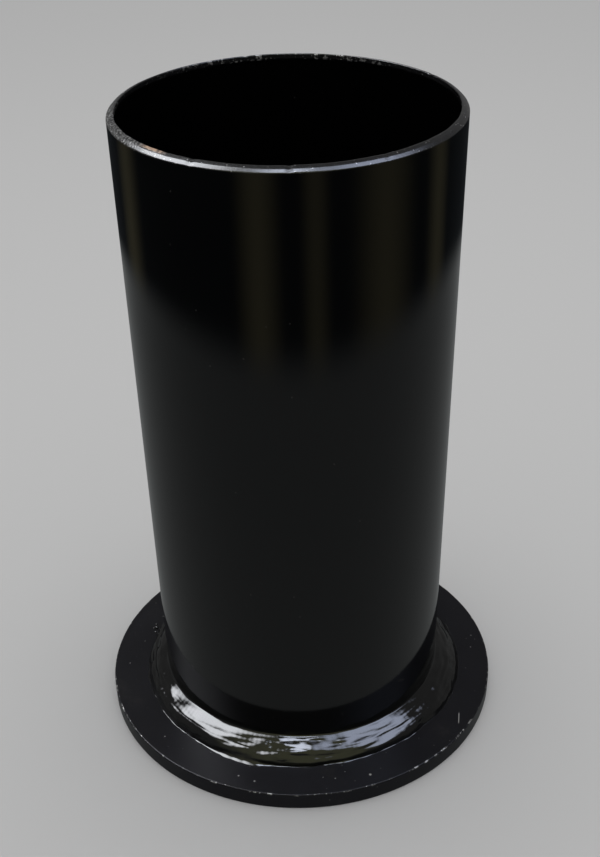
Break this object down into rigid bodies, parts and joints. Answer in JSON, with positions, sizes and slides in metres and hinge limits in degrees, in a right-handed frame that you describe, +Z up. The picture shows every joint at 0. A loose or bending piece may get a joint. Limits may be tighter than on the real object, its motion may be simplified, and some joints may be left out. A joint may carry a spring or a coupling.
{
  "type": "fabricated pipe end flange",
  "caption": "Thin-walled round pipe end set into a flat ring flange with no bolt holes and joined by a wide fillet weld, for butt welding into a pipeline with a loose backing flange.",
  "frame": {"origin": "on the pipe's axis, in the underside of the ring plate that it stands on", "axes": "+Z up along the pipe's axis, from the ring plate to the bevelled end; the part is round, so X and Y are free"},
  "size_m": [0.161, 0.161, 0.24],
  "materials": {
    "pipe_enamel": "smooth gloss black enamel over drawn tube, worn to bare steel on the bevelled end",
    "plate_enamel": "satin black enamel over rolled plate, rubbed bright along the outer top corner",
    "weld_enamel": "thick wet-look gloss black enamel over rippled weld beads",
    "weld_metal": "as-welded steel, buried under the outer beads"
  },
  "bodies": {
    "root": {"neck_pipe": "pipe_enamel", "flange_plate": "plate_enamel", "weld_root_pass": "weld_metal", "weld_lower_bead": "weld_enamel", "weld_upper_bead": "weld_enamel", "inner_seal_weld": "weld_enamel"}
  },
  "joints": []
}
